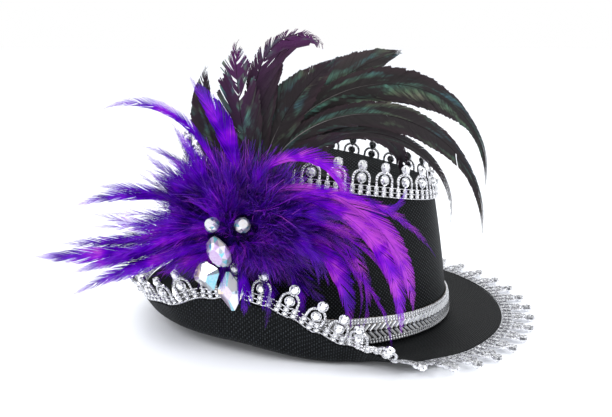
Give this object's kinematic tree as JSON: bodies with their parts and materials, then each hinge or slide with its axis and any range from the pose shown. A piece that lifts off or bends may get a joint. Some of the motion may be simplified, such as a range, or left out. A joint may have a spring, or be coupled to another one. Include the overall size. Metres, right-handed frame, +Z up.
{
  "type": "carnival hat",
  "caption": "Small woven trilby with a dented crown and turned-up brim, pierced rhinestone trims, a rhinestone band, a purple plume, black tail feathers and cut crystals.",
  "frame": {"origin": "middle of the head opening, on the surface that the brim rests on", "axes": "+X to the front of the hat, +Y to the wearer's left, +Z up through the crown"},
  "size_m": [0.3333, 0.2689, 0.2068],
  "materials": {
    "straw": "black woven paper straw",
    "rhinestone": "silver settings with clear foiled stones",
    "purple_feather": "dyed soft feather",
    "black_feather": "glossy black feather with a green sheen",
    "crystal": "foiled cut crystal with a rainbow coat"
  },
  "bodies": {
    "root": {"crown": "straw", "brim": "straw", "hat_band": "rhinestone", "crown_trim": "rhinestone", "brim_trim": "rhinestone", "purple_plume": "purple_feather", "black_plume": "black_feather", "round_stone_left": "crystal", "round_stone_right": "crystal", "drop_crystal": "crystal", "square_crystal": "crystal", "low_crystal": "crystal"}
  },
  "joints": []
}
